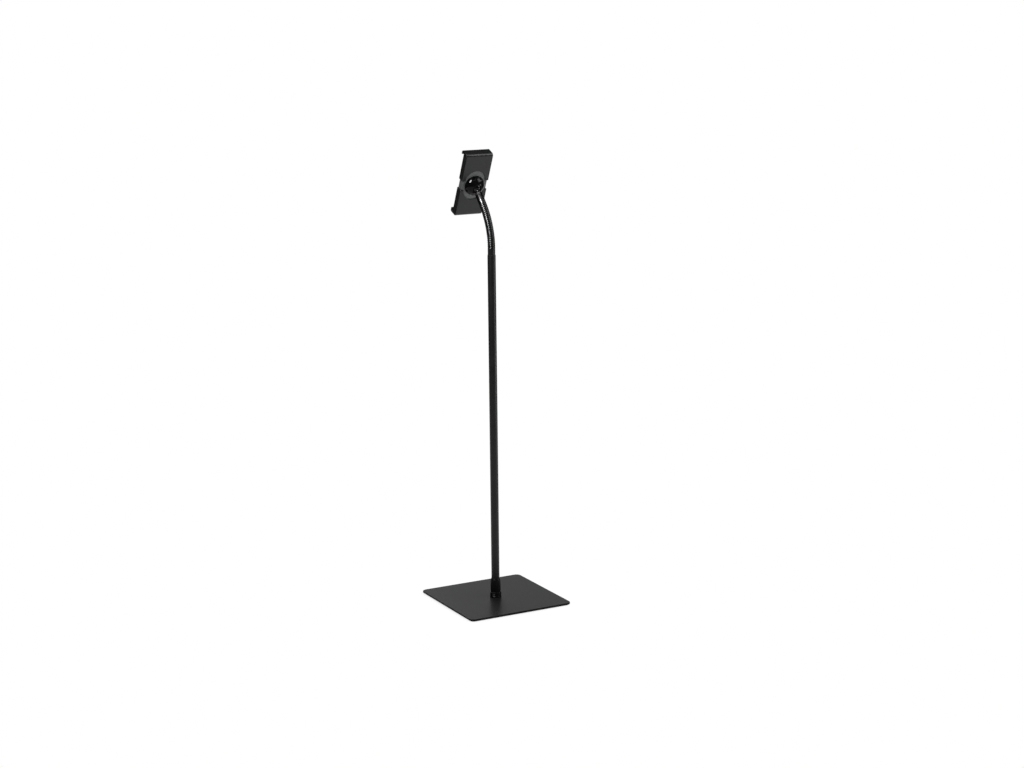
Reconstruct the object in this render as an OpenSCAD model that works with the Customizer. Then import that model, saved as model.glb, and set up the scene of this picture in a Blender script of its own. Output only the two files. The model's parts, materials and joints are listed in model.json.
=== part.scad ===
// Floor stand for a tablet: weighted plate, pole, gooseneck, ball joint and a self-centring spring clamp.
// Lengths are millimetres. The front, where the screen faces, is towards -Y. The floor is z = 0.

/* [Base] */
// side of the square plate
plate_side = 305; // [270:1:340]
// thickness of the plate
plate_thick = 5; // [4:0.5:8]
// radius of the plate's corners
plate_corner = 14; // [10:1:40]
// thickness of the rubber mat under the plate
mat_thick = 2; // [1:0.5:4]
// how far the mat's edge stays inside the plate's edge
mat_inset = 4; // [3:1:12]
// diameter of the hub that stands on the plate
hub_d = 31; // [29:0.5:36]
// height of the hub above the plate
hub_h = 14; // [10:1:20]
// length of the hub's spigot inside the pole
spigot_l = 30; // [20:1:50]
// depth of the two grooves around the hub
hub_groove = 0.7; // [0.3:0.1:1]
// diameter of the bolt that holds the hub
bolt_d = 10; // [8:0.5:10]
// how far the bolt reaches above the hub's shoulder
bolt_reach = 10; // [6:1:14]
// width of the bolt's hexagon socket, corner to corner
key_d = 6.9; // [5:0.1:7]
// depth of the bolt's hexagon socket
key_depth = 3.5; // [2:0.1:3.8]
// width of the free ring around the bolt's head in the mat
mat_margin = 3; // [2:0.5:6]

/* [Pole] */
// outside diameter of the tube
pole_d = 22; // [20:0.5:24]
// wall of the tube
pole_wall = 1.5; // [1:0.1:2]
// height of the tube's top edge above the floor
pole_top = 948; // [700:1:1150]
// diameter of the collar at the foot of the tube
collar_d = 27.5; // [26.5:0.1:28.5]
// height of the collar
collar_h = 38.5; // [34:0.5:44]
// height of the collar's tapered top
collar_taper = 5; // [4:0.5:10]
// width of the collar's top edge
collar_lip = 0.6; // [0.3:0.1:0.9]
// height of the set screw above the collar's foot
set_screw_up = 13.6; // [10:0.2:16]
// diameter of the set screw
set_screw_d = 4; // [3:0.5:5]
// depth of the set screw's socket
set_screw_socket = 1.2; // [0.8:0.1:1.4]
// bevel at the tube's top edge
pole_bevel = 0.6; // [0.3:0.1:0.9]
// length of the threaded plug in the tube's top
insert_l = 30; // [26:1:40]

/* [Gooseneck] */
// outside diameter of the ribs
neck_d = 20.4; // [20:0.1:21]
// diameter at the bottom of the grooves
groove_d = 17; // [16.5:0.1:17.2]
// distance from rib to rib
rib_pitch = 5.4; // [5.2:0.05:6]
// width of a groove at its bottom
groove_w = 2; // [1.9:0.05:2.3]
// forward bend at every second joint in the stored pose, degrees
bend_step = 7; // [0:0.5:11]
// height of the lower ferrule above the tube
low_ferrule_h = 20; // [14:1:30]
// length of the lower ferrule's threaded pin
ferrule_pin_l = 22; // [16:1:25]
// length of the upper ferrule
top_ferrule_h = 30; // [28:1:40]
// bevel at the ferrules' ends
ferrule_bevel = 0.8; // [0.5:0.1:0.9]
// diameter of the hole through the links
link_hole = 8; // [6:0.5:8.5]
// outside diameter of both ferrules
ferrule_d = 20; // [19.8:0.1:20.8]

/* [Ball joint] */
// diameter of the ball
ball_d = 26; // [24:0.5:27]
// diameter of the ball's shank
shank_d = 10; // [8:0.5:10]
// length of the shank inside the upper ferrule
stud_grip = 16; // [12:0.5:17]
// width of the lock nut across its flats
nut_flats = 17; // [16:0.5:17.5]
// height of the lock nut
nut_h = 6; // [4:0.5:6]
// from the upper ferrule's end to the ball's centre
stud_reach = 26; // [24:1:34]
// from the plane behind the tablet to the ball's centre
ball_depth = 33; // [33:0.5:36]
// wall of the plastic seat around the ball
seat_wall = 2.5; // [2.2:0.1:2.8]
// wall of the socket around the seat
socket_wall = 3.4; // [3:0.1:3.6]
// outside diameter of the ring nut
ring_d = 57; // [54:0.5:58]
// radius of the ring nut's dome
dome_r = 30.5; // [30:0.5:32]
// from the ball's centre forward to the dome's centre
dome_forward = 19.2; // [18.5:0.1:20]
// number of finger hollows around the ring nut
hollow_count = 8; // [5:1:10]
// radius of a finger hollow
hollow_r = 7.5; // [6.5:0.5:8]
// from the ring nut's rim out to a hollow's axis
hollow_out = 6.4; // [5.8:0.1:7]
// lean of the finger hollows, degrees
hollow_lean = 14; // [10:1:16]

/* [Clamp] */
// lean of the screen in the stored pose, degrees from upright
tilt = 24.4; // [0:0.2:40]
// distance between the two jaws in the stored pose
jaw_open = 178.5; // [155:0.5:210]
// distance between the two jaws when closed
jaw_closed = 152.5; // [150:0.5:154]
// width of the jaws
jaw_w = 78; // [76:0.5:90]
// depth of the jaw's sleeve behind the tablet
jaw_depth = 21.5; // [21:0.5:24]
// wall of the sleeve's back and sides
jaw_wall = 2.2; // [1.8:0.1:2.4]
// wall of the sleeve's front
jaw_front = 1.4; // [1.2:0.1:1.8]
// wall of the jaw's outer end
end_wall = 2.5; // [2:0.1:4]
// rounding at the back of the jaw's outer end
back_round = 8; // [5:0.5:9]
// rounding at the front of the jaw's outer end
front_round = 6; // [4:0.5:7]
// room for the tablet's thickness
slot = 7.2; // [6:0.1:12]
// how far the lip reaches over the screen
lip_reach = 8; // [5:0.5:12]
// thickness of the lip
lip_thick = 2.5; // [2:0.1:4]
// thickness of the soft lining
pad = 0.8; // [0.6:0.1:1.5]
// thickness of the soft lining at the jaw's end
end_pad = 1; // [0.8:0.1:1.4]
// length of the soft lining behind the tablet
pad_foot = 8.5; // [6:0.5:10]
// how far the lining stays inside the jaw's sides
pad_side = 1.5; // [1:0.5:4]
// half length of the clamp's body
body_half = 62; // [60:1:66]
// wall of the clamp's body
body_wall = 2; // [1.6:0.1:2.2]
// thickness of the clamp's cover
cover_thick = 2; // [1.8:0.1:2.2]
// from the body's side to a cover screw
screw_side = 6.3; // [6:0.1:7]
// from the body's end to a cover screw
screw_end = 7; // [6.5:0.1:8]
// diameter of the cover screws
screw_d = 2.5; // [2:0.1:2.6]

/* [Clamp mechanism] */
// size of the rack and pinion teeth
tooth_module = 1.25; // [1.2:0.05:1.3]
// number of teeth on the pinion
pinion_teeth = 12; // [12:2:12]
// play between the teeth
backlash = 0.3; // [0.2:0.05:0.4]
// width of the pinion's teeth
gear_h = 5; // [4:0.5:5.5]
// diameter of the pinion's pin
gear_pin_d = 5; // [4:0.5:5]
// thickness of the racks
rack_w = 4; // [3:0.5:4.5]
// length of the racks past the pinion
rack_tail = 26; // [22:1:28]
// number of turns on each spring
spring_turns = 24; // [12:1:28]
// wire diameter of the springs
spring_wire = 1; // [0.8:0.1:1.2]
// outside diameter of the springs
spring_d = 6; // [5:0.2:6.4]
// from the clamp's middle to a spring's axis
spring_x = 20; // [19:0.5:21]
// from the clamp's middle to a spring's fixed end
post_y = 20; // [18:1:22]

/* [Fit] */
// gap around pieces that slide on each other
slide_gap = 0.3; // [0.25:0.05:0.4]
// gap around pins and threads
pin_gap = 0.05; // [0.03:0.01:0.1]
// gap around the bolt's head
head_gap = 0.15; // [0.1:0.05:0.3]

/* [Hidden] */
$fn = 96;
eps = 0.01;
spare = 1;
plate_base = mat_thick;
plate_face = mat_thick + plate_thick;
hub_face = plate_face + hub_h;
bolt_r = bolt_d / 2;
set_screw_r = set_screw_d / 2;
set_screw_z = hub_face + set_screw_up;
pole_bore = pole_d / 2 - pole_wall;
plug_r = pole_bore - pin_gap;

neck_r = neck_d / 2;
groove_r = groove_d / 2;
cup_r = groove_r + slide_gap;
link_l = 2 * rib_pitch;
link_bore = link_hole / 2;
link_count = 11;
neck_base = pole_top + low_ferrule_h + groove_w / 2;
knob_cut = 4.5;

ball_r = ball_d / 2;
shank_r = shank_d / 2;
stud_l = groove_w / 2 + top_ferrule_h + stud_reach;
seat_r = ball_r + seat_wall;
socket_r = seat_r + pin_gap + socket_wall;
ring_r = ring_d / 2;
cutout_gap = 0.7;
seat_open = 2;
seat_rise = 0.5;
seat_floor = 0.2;
seat_gap = 0.1;

body_w = jaw_w - 2 * (jaw_wall + slide_gap);
body_back = jaw_depth - jaw_wall - slide_gap;
cover_front = pad + jaw_front + slide_gap;
cover_back = cover_front + cover_thick;
socket_end = ball_depth - seat_open;
screw_x = body_w / 2 - screw_side;
screw_y = body_half - screw_end;
screw_r = screw_d / 2;
head_rim = 0.1;
screw_head_r = 2 * screw_r + head_rim;
screw_head_h = 1.4;
screw_drive_r = 1;
screw_drive_h = 0.8;
screw_l = 9;
head_sunk = 0.1;
head_play = 0.2;
post_wall = 1;
post_r = screw_head_r + post_wall;
pin_seat = 1;
pin_end = 0.1;
cover_skin = 0.8;

jaw_gap = (jaw_open - jaw_closed) / 2;
jaw_face = jaw_open / 2;
jaw_inner = jaw_face + end_pad;
jaw_end = jaw_inner + end_wall;
lip_back = -slot - pad;
lip_front = lip_back - lip_thick;
cutout_r = ring_r + cutout_gap;

pitch_r = tooth_module * pinion_teeth / 2;
tooth_pitch = PI * tooth_module;
tooth_top = 0.8 * tooth_module;
tooth_root = 1.05 * tooth_module;
pressure = 25;
gear_room = 1.5;
gear_low = cover_back + gear_room;
gear_pin_r = gear_pin_d / 2;
gear_bore = gear_pin_r + pin_gap;
spring_up = 3.7;
spring_z = gear_low + spring_up;
tab_l = 14;
tab_half = 3;
anchor_l = 6;
rack_head = 8;
window_gap = 1.5;

graphite = [0.20, 0.20, 0.21];
satin = [0.10, 0.10, 0.105];
gloss = [0.03, 0.03, 0.033];
shell = [0.17, 0.17, 0.18];
core = [0.30, 0.30, 0.31];
rubber = [0.05, 0.05, 0.05];
steel = [0.62, 0.63, 0.65];
nylon = [0.82, 0.81, 0.78];

// Placing

// forward lean of a link, counted from 0; only the even joints bend forward
function lean(k) = bend_step * (floor(min(k, link_count - 1) / 2) + 1);

// where joint k of the gooseneck lies
function joint_at(k) = k == 0
    ? [0, 0, neck_base]
    : joint_at(k - 1) + link_l * [0, -sin(lean(k - 1)), cos(lean(k - 1))];

// the axis of the gooseneck's top, and the ball's centre on it
function top_axis() = [0, -sin(lean(link_count)), cos(lean(link_count))];
function ball_at() = joint_at(link_count) + stud_l * top_axis();

// the middle of the plane behind the tablet
function clamp_at() = ball_at() + ball_depth * [0, -cos(tilt), sin(tilt)];

module on_neck(k) {
    translate(joint_at(k)) rotate([lean(k), 0, 0]) children();
}

// x across, y up along the screen, z to the rear, from the plane behind the tablet
module on_clamp() {
    translate(clamp_at()) rotate([270 - tilt, 0, 0]) rotate([0, 0, 180]) children();
}

module turned_over() {
    rotate([0, 0, 180]) children();
}

// Base and pole

module rounded_square(side, r) {
    square([side, side - 2 * r], center = true);
    square([side - 2 * r, side], center = true);
    for (x = [-1, 1], y = [-1, 1]) {
        translate([x, y] * (side / 2 - r)) circle(r);
    }
}

module base_plate() {
    hole_r = bolt_r + head_gap;
    color(graphite)
    difference() {
        translate([0, 0, plate_base]) linear_extrude(plate_thick) rounded_square(plate_side, plate_corner);
        translate([0, 0, plate_base - eps])
            cylinder(r1 = hole_r + plate_thick + eps, r2 = hole_r, h = plate_thick + eps);
        cylinder(r = hole_r, h = plate_face + spare);
    }
}

module base_mat() {
    color(rubber)
    difference() {
        linear_extrude(mat_thick) rounded_square(plate_side - 2 * mat_inset, plate_corner - mat_inset);
        translate([0, 0, -spare]) cylinder(r = bolt_r + plate_thick + mat_margin, h = mat_thick + 2 * spare);
    }
}

module base_bolt() {
    color(steel)
    difference() {
        union() {
            translate([0, 0, plate_base]) cylinder(r1 = bolt_r + plate_thick, r2 = bolt_r, h = plate_thick);
            translate([0, 0, plate_face - eps]) cylinder(r = bolt_r, h = hub_h + bolt_reach);
        }
        translate([0, 0, plate_base - spare]) cylinder(d = key_d, h = key_depth + spare, $fn = 6);
    }
}

module base_hub() {
    shoulder = 1;
    tip = 1.5;
    bolt_room = 4;
    floor_w = 0.35;
    mouth_w = 0.9;
    color(gloss)
    difference() {
        union() {
            translate([0, 0, plate_face]) cylinder(d = hub_d, h = hub_h - shoulder);
            translate([0, 0, hub_face - shoulder])
                cylinder(d1 = hub_d, d2 = hub_d - 2 * shoulder, h = shoulder);
            cylinder_between(plug_r, hub_face - eps, hub_face + spigot_l - tip);
            translate([0, 0, hub_face + spigot_l - tip]) cylinder(r1 = plug_r, r2 = plug_r - tip, h = tip);
        }
        cylinder_between(bolt_r + pin_gap, plate_face - spare, hub_face + bolt_reach + bolt_room);
        for (z = [0.28, 0.62]) {
            translate([0, 0, plate_face + z * hub_h])
            rotate_extrude()
            polygon([
                [hub_d / 2 - hub_groove, -floor_w], [hub_d / 2 + spare, -mouth_w],
                [hub_d / 2 + spare, mouth_w], [hub_d / 2 - hub_groove, floor_w]
            ]);
        }
    }
}

module cylinder_between(r, low, high) {
    translate([0, 0, low]) cylinder(r = r, h = high - low);
}

module pole_collar() {
    color(gloss)
    difference() {
        union() {
            cylinder_between(collar_d / 2, hub_face, hub_face + collar_h - collar_taper);
            translate([0, 0, hub_face + collar_h - collar_taper])
                cylinder(d1 = collar_d, d2 = pole_d + 2 * collar_lip, h = collar_taper);
        }
        cylinder_between(pole_d / 2 + pin_gap, hub_face - spare, hub_face + collar_h + spare);
        translate([0, 0, set_screw_z]) rotate([90, 0, 0]) cylinder(r = set_screw_r + pin_gap, h = collar_d);
    }
}

module collar_set_screw() {
    sunk = 0.4;
    face = collar_d / 2 - sunk;
    color(steel)
    translate([0, 0, set_screw_z])
    rotate([90, 0, 0])
    difference() {
        cylinder_between(set_screw_r, pole_d / 2 + pin_gap, face);
        cylinder_between(0.55 * set_screw_r, face - set_screw_socket, face + spare);
    }
}

module pole_tube() {
    color(satin)
    rotate_extrude()
    polygon([
        [pole_bore, hub_face], [pole_d / 2, hub_face], [pole_d / 2, pole_top - pole_bevel],
        [pole_d / 2 - pole_bevel / 3, pole_top - pole_bevel / 3], [pole_d / 2 - pole_bevel, pole_top],
        [pole_bore, pole_top]
    ]);
}

module pole_top_insert() {
    color(steel)
    difference() {
        cylinder_between(plug_r, pole_top - insert_l, pole_top);
        cylinder_between(bolt_r, pole_top - insert_l - spare, pole_top + spare);
    }
}

// Gooseneck

// the round end that the next link's cup turns on, around the joint's centre
module knob() {
    difference() {
        union() {
            sphere(groove_r);
            cylinder_between(groove_r, -groove_w / 2 - eps, 0);
        }
        cylinder_between(groove_r + spare, knob_cut, groove_r + spare);
        cylinder_between(groove_r + spare, -groove_r - spare, -groove_w / 2 - eps);
    }
}

// the cup that turns on the knob below
module cup_space() {
    sphere(cup_r);
}

module rib() {
    half = (rib_pitch - groove_w) / 2;
    rise = neck_r - groove_r;
    rotate_extrude()
    polygon([
        [link_bore, -half], [groove_r, -half], [groove_r + 0.45 * rise, -0.92 * half],
        [groove_r + 0.80 * rise, -0.68 * half], [groove_r + 0.95 * rise, -0.40 * half],
        [neck_r, -0.12 * half], [neck_r, 0.12 * half],
        [groove_r + 0.95 * rise, 0.40 * half], [groove_r + 0.80 * rise, 0.68 * half],
        [groove_r + 0.45 * rise, 0.92 * half], [groove_r, half], [link_bore, half]
    ]);
}

module neck_link(k) {
    on_neck(k)
    color(gloss)
    difference() {
        union() {
            cylinder_between(groove_r, groove_w / 2, link_l - groove_w / 2);
            translate([0, 0, link_l]) knob();
            translate([0, 0, rib_pitch / 2]) rib();
            translate([0, 0, rib_pitch * 1.5]) rib();
        }
        cup_space();
        cylinder_between(link_bore, 0, link_l + groove_r);
    }
}

module neck_lower_ferrule() {
    root = -low_ferrule_h - groove_w / 2;
    shoulder = -groove_w / 2 - ferrule_bevel;
    floor_h = 6;
    color(gloss)
    translate([0, 0, neck_base])
    difference() {
        union() {
            cylinder_between(bolt_r - pin_gap, root - ferrule_pin_l, root + eps);
            cylinder_between(ferrule_d / 2, root, shoulder);
            translate([0, 0, shoulder])
                cylinder(r1 = ferrule_d / 2, r2 = ferrule_d / 2 - ferrule_bevel, h = ferrule_bevel);
            knob();
        }
        cylinder_between(link_bore, root + floor_h, groove_r);
    }
}

module neck_upper_ferrule() {
    low = groove_w / 2;
    high = low + top_ferrule_h;
    full = ferrule_d / 2;
    rim = full - ferrule_bevel;
    stud_room = 0.5;
    on_neck(link_count)
    color(gloss)
    difference() {
        union() {
            translate([0, 0, low]) cylinder(r1 = rim, r2 = full, h = ferrule_bevel);
            cylinder_between(full, low + ferrule_bevel, high - ferrule_bevel);
            translate([0, 0, high - ferrule_bevel]) cylinder(r1 = full, r2 = rim, h = ferrule_bevel);
        }
        cup_space();
        cylinder_between(link_bore, 0, high - stud_grip);
        cylinder_between(shank_r + pin_gap, high - stud_grip - stud_room, high + spare);
    }
}

// Ball joint

module ball_stud() {
    low = groove_w / 2 + top_ferrule_h;
    on_neck(link_count)
    color(steel)
    union() {
        translate([0, 0, stud_l]) sphere(ball_r);
        cylinder_between(shank_r, low - stud_grip, stud_l - ball_r / 2);
    }
}

module stud_lock_nut() {
    gap = 0.1;
    low = groove_w / 2 + top_ferrule_h + gap;
    on_neck(link_count)
    color(steel)
    difference() {
        translate([0, 0, low]) cylinder(d = nut_flats / cos(30), h = nut_h, $fn = 6);
        cylinder_between(shank_r + pin_gap, low - spare, low + nut_h + spare);
    }
}

module ball_seat() {
    on_clamp()
    color(nylon)
    difference() {
        cylinder_between(seat_r, body_back + seat_floor + seat_gap, socket_end + seat_rise);
        translate([0, 0, ball_depth]) sphere(ball_r + seat_gap);
        cylinder_between(shank_r, body_back - spare, ball_depth);
    }
}

module ring_nut() {
    low = body_back + slide_gap;
    dome_z = ball_depth - dome_forward;
    stud_room = 1.2;
    open_r = shank_r + stud_room;
    cone_h = 14;
    cone_slope = 0.7;
    ball_gap = 0.2;
    on_clamp()
    color(gloss)
    difference() {
        intersection() {
            cylinder_between(ring_r, low, dome_z + dome_r);
            translate([0, 0, dome_z]) sphere(dome_r);
        }
        cylinder_between(socket_r + pin_gap, low - spare, socket_end + spare);
        translate([0, 0, ball_depth]) sphere(ball_r + ball_gap);
        translate([0, 0, ball_depth]) cylinder(r1 = open_r, r2 = open_r + cone_slope * cone_h, h = cone_h);
        for (i = [0 : hollow_count - 1]) {
            rotate([0, 0, (i + 0.5) * 360 / hollow_count])
            translate([ring_r + hollow_out, 0, low - spare])
            rotate([0, -hollow_lean, 0])
            cylinder(r = hollow_r, h = dome_r);
        }
    }
}

// Clamp

module corner_posts(r, low, high) {
    for (x = [-1, 1], y = [-1, 1]) {
        translate([x * screw_x, y * screw_y, 0]) cylinder_between(r, low, high);
    }
}

module block(x0, x1, y0, y1, z0, z1) {
    translate([x0, y0, z0]) cube([x1 - x0, y1 - y0, z1 - z0]);
}

module spring_anchor() {
    block(
        spring_x - tab_half, spring_x + tab_half, -post_y - anchor_l, -post_y,
        gear_low, body_back - body_wall + eps
    );
}

module end_window() {
    block(
        pitch_r - tooth_top - window_gap, spring_x + tab_half + window_gap,
        body_half - body_wall - spare, body_half + spare,
        gear_low - window_gap / 2, spring_z + tab_half + window_gap
    );
}

module holder_body() {
    w = body_w / 2;
    floor_z = body_back - body_wall;
    on_clamp()
    color(core)
    difference() {
        union() {
            difference() {
                block(-w, w, -body_half, body_half, cover_back, body_back);
                block(
                    body_wall - w, w - body_wall, body_wall - body_half, body_half - body_wall,
                    cover_back - spare, floor_z
                );
                end_window();
                turned_over() end_window();
            }
            corner_posts(post_r, cover_back, floor_z + eps);
            spring_anchor();
            turned_over() spring_anchor();
            cylinder_between(gear_pin_d, gear_low + gear_h + slide_gap, floor_z + eps);
            cylinder_between(socket_r, body_back - eps, socket_end);
        }
        corner_posts(screw_r + pin_gap, cover_back - spare, floor_z - spare);
        cylinder_between(gear_bore, gear_low, floor_z + pin_seat);
        cylinder_between(seat_r + pin_gap, body_back + seat_floor, socket_end + spare);
    }
}

module holder_cover() {
    w = body_w / 2;
    on_clamp()
    color(core)
    difference() {
        block(-w, w, -body_half, body_half, cover_front, cover_back);
        corner_posts(screw_r + head_play, cover_front - spare, cover_back + spare);
        for (x = [-1, 1], y = [-1, 1]) {
            translate([x * screw_x, y * screw_y, cover_front - eps])
                cylinder(r1 = screw_head_r + head_play, r2 = screw_r + pin_gap, h = screw_head_h + head_sunk);
        }
        cylinder_between(gear_bore, cover_front + cover_skin, cover_back + spare);
    }
}

module cover_screws() {
    on_clamp()
    color(steel)
    for (x = [-1, 1], y = [-1, 1]) {
        translate([x * screw_x, y * screw_y, 0])
        difference() {
            union() {
                translate([0, 0, cover_front + head_sunk])
                    cylinder(r1 = screw_head_r, r2 = screw_r - pin_gap, h = screw_head_h);
                cylinder_between(screw_r, cover_front + screw_head_h - head_sunk, cover_back + screw_l);
            }
            cylinder_between(screw_drive_r, cover_front - spare, cover_front + head_sunk + screw_drive_h);
        }
    }
}

module gear_pin() {
    low = cover_front + cover_skin + pin_end;
    high = body_back - body_wall + pin_seat - pin_end;
    on_clamp()
    color(steel)
    cylinder_between(gear_pin_r, low, high);
}

// points of one involute flank, from the base circle to the tip
function involute(rb, a) = rb / cos(a) * [cos(tan(a) * 180 / PI - a), sin(tan(a) * 180 / PI - a)];
function turned(p, a) = [p[0] * cos(a) - p[1] * sin(a), p[0] * sin(a) + p[1] * cos(a)];

// The flank starts at the base circle. Half a tooth at the pitch circle is a quarter of the pitch angle,
// less the play; the involute has already turned by tan(pressure) - pressure there.
function gear_outline() =
    let (rb = pitch_r * cos(pressure))
    let (tip = acos(rb / (pitch_r + tooth_top)))
    let (play = backlash / 4 / pitch_r * 180 / PI)
    let (half = 90 / pinion_teeth - play + tan(pressure) * 180 / PI - pressure)
    let (steps = 5)
    [
        for (i = [0 : pinion_teeth - 1])
        let (at = i * 360 / pinion_teeth)
        each concat(
            [turned((pitch_r - tooth_root) * [cos(half), -sin(half)], at)],
            [for (s = [0 : steps]) turned(turned(involute(rb, tip * s / steps), -half), at)],
            [
                for (s = [steps : -1 : 0])
                let (p = turned(involute(rb, tip * s / steps), -half))
                turned([p[0], -p[1]], at)
            ],
            [turned((pitch_r - tooth_root) * [cos(half), sin(half)], at)]
        )
    ];

module sync_gear() {
    on_clamp()
    color(nylon)
    translate([0, 0, gear_low])
    linear_extrude(gear_h)
    difference() {
        polygon(gear_outline());
        circle(gear_bore);
    }
}

// one straight rack tooth, its middle at y = 0, pointing to -x from the pitch line
module rack_tooth() {
    half = tooth_pitch / 4 - backlash / 4;
    polygon([
        [pitch_r + tooth_root + eps, -half - tooth_root * tan(pressure)],
        [pitch_r - tooth_top, -half + tooth_top * tan(pressure)],
        [pitch_r - tooth_top, half - tooth_top * tan(pressure)],
        [pitch_r + tooth_root + eps, half + tooth_root * tan(pressure)]
    ]);
}

module rack() {
    first = -ceil((rack_tail - tooth_pitch) / tooth_pitch);
    last = floor((jaw_gap + rack_head) / tooth_pitch);
    root = pitch_r + tooth_root;
    translate([0, 0, gear_low + slide_gap])
    linear_extrude(gear_h - 2 * slide_gap) {
        translate([root, -rack_tail]) square([rack_w, rack_tail + jaw_inner + eps]);
        for (k = [first : last]) {
            translate([0, (k + 0.5) * tooth_pitch]) rack_tooth();
        }
    }
}

// side view of the jaw's outside: y along the screen, z to the rear
module jaw_side() {
    translate([jaw_gap, pad]) square([jaw_end - back_round - jaw_gap, jaw_depth - pad]);
    translate([jaw_gap, pad]) square([jaw_end - jaw_gap, jaw_depth - back_round - pad]);
    translate([jaw_end - back_round, jaw_depth - back_round]) circle(back_round);
    translate([jaw_inner, lip_front + front_round]) square([end_wall, pad - lip_front - front_round + eps]);
    translate([jaw_end - front_round, lip_front + front_round])
    intersection() {
        circle(front_round);
        translate([0, -front_round]) square(front_round);
    }
    translate([jaw_face - lip_reach, lip_front])
        square([jaw_end - front_round - jaw_face + lip_reach + eps, lip_thick]);
}

// side view of the sleeve's inside
module jaw_room() {
    round_in = back_round - jaw_wall;
    back = jaw_depth - jaw_wall;
    front = pad + jaw_front;
    low = jaw_gap - spare;
    translate([low, front]) square([jaw_inner - round_in - low, back - front]);
    translate([low, front]) square([jaw_inner - low, back - front - round_in]);
    translate([jaw_inner - round_in, back - round_in]) circle(round_in);
}

module side_extrude(w) {
    rotate([90, 0, 90]) linear_extrude(w, center = true) children();
}

module jaw() {
    difference() {
        side_extrude(jaw_w) jaw_side();
        side_extrude(jaw_w + 2 * spare)
            translate([jaw_face - lip_reach - spare, lip_back])
            square([jaw_inner - jaw_face + lip_reach + spare, slot + 2 * pad]);
        side_extrude(jaw_w - 2 * jaw_wall) jaw_room();
        translate([0, jaw_gap, 0]) cylinder_between(cutout_r, pad + jaw_front + spare, jaw_depth + spare);
    }
    rack();
    block(
        spring_x - tab_half, spring_x + tab_half, jaw_inner - tab_l, jaw_inner + eps,
        spring_z - tab_half, spring_z + tab_half
    );
}

module jaw_pad() {
    side_extrude(jaw_w - 2 * pad_side) {
        translate([jaw_face, lip_back]) square([jaw_inner - jaw_face, slot + 2 * pad]);
        translate([jaw_face - lip_reach, lip_back]) square([lip_reach + eps, pad]);
        translate([jaw_face - pad_foot, 0]) square([pad_foot + eps, pad]);
    }
}

module upper_jaw() {
    on_clamp() color(shell) jaw();
}

module lower_jaw() {
    on_clamp() turned_over() color(shell) jaw();
}

module upper_jaw_pad() {
    on_clamp() color(rubber) jaw_pad();
}

module lower_jaw_pad() {
    on_clamp() turned_over() color(rubber) jaw_pad();
}

// Springs: a wire that leaves the anchor along the spring's axis, opens into a coil and closes onto the axis.

spring_l = post_y + jaw_inner - tab_l;
spring_leg = 1.5 * spring_wire;
spring_steps = 12;
spring_sides = 6;
coil_r = spring_d / 2 - spring_wire / 2;
coil_pitch = (spring_l - 2 * spring_leg) / spring_turns;

function ease(t) = t <= 0 ? 0 : t >= 1 ? 1 : t * t * (3 - 2 * t);
function coil_point(t) =
    let (r = coil_r * ease(t) * ease(spring_turns - t))
    [r * cos(360 * t), spring_leg + coil_pitch * t, r * sin(360 * t)];
function wire_path() = concat(
    [[0, 0, 0]],
    [for (i = [0 : spring_turns * spring_steps]) coil_point(i / spring_steps)],
    [[0, spring_l, 0]]
);
function unit(v) = v / norm(v);

module spring() {
    path = wire_path();
    n = len(path);
    m = spring_sides;
    points = [
        for (i = [0 : n - 1])
        let (t = unit(path[min(i + 1, n - 1)] - path[max(i - 1, 0)]))
        let (along = i == 0 || i == n - 1 ? [0, 1, 0] : t)
        let (angle = 360 * min(max(i - 1, 0), n - 3) / spring_steps)
        let (out = [cos(angle), 0, sin(angle)])
        let (a = unit(out - (out * along) * along))
        let (b = cross(along, a))
        for (j = [0 : m - 1])
        path[i] + spring_wire / 2 * (a * cos(360 * j / m) + b * sin(360 * j / m))
    ];
    faces = concat(
        [[for (j = [0 : m - 1]) j]],
        [
            for (i = [0 : n - 2], j = [0 : m - 1])
            each [
                [i * m + j, (i + 1) * m + j, (i + 1) * m + (j + 1) % m],
                [i * m + j, (i + 1) * m + (j + 1) % m, i * m + (j + 1) % m]
            ]
        ],
        [[for (j = [m - 1 : -1 : 0]) (n - 1) * m + j]]
    );
    translate([spring_x, -post_y, spring_z]) polyhedron(points, faces);
}

module upper_spring() {
    on_clamp() color(steel) spring();
}

module lower_spring() {
    on_clamp() turned_over() color(steel) spring();
}

module neck_link_1() { neck_link(0); }
module neck_link_2() { neck_link(1); }
module neck_link_3() { neck_link(2); }
module neck_link_4() { neck_link(3); }
module neck_link_5() { neck_link(4); }
module neck_link_6() { neck_link(5); }
module neck_link_7() { neck_link(6); }
module neck_link_8() { neck_link(7); }
module neck_link_9() { neck_link(8); }
module neck_link_10() { neck_link(9); }
module neck_link_11() { neck_link(10); }

echo(spring_wire_gap = coil_pitch - spring_wire);
echo(ball_at = ball_at());
echo(clamp_at = clamp_at());
echo(neck_joints = [for (k = [0 : link_count]) joint_at(k)]);
echo(neck_leans = [for (k = [0 : link_count]) lean(k)]);

base_plate();
base_mat();
base_bolt();
base_hub();
pole_collar();
collar_set_screw();
pole_tube();
pole_top_insert();
neck_lower_ferrule();
neck_link_1();
neck_link_2();
neck_link_3();
neck_link_4();
neck_link_5();
neck_link_6();
neck_link_7();
neck_link_8();
neck_link_9();
neck_link_10();
neck_link_11();
neck_upper_ferrule();
ball_stud();
stud_lock_nut();
ball_seat();
ring_nut();
holder_body();
holder_cover();
cover_screws();
gear_pin();
sync_gear();
upper_spring();
lower_spring();
upper_jaw();
lower_jaw();
upper_jaw_pad();
lower_jaw_pad();
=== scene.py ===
"""Tablet floor stand, dressed for rendering: plate, pole, gooseneck, ball joint and spring clamp.

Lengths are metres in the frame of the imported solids: +Z up the pole, -Y to the front, the floor at z = 0.
"""
import json
import math

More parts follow.
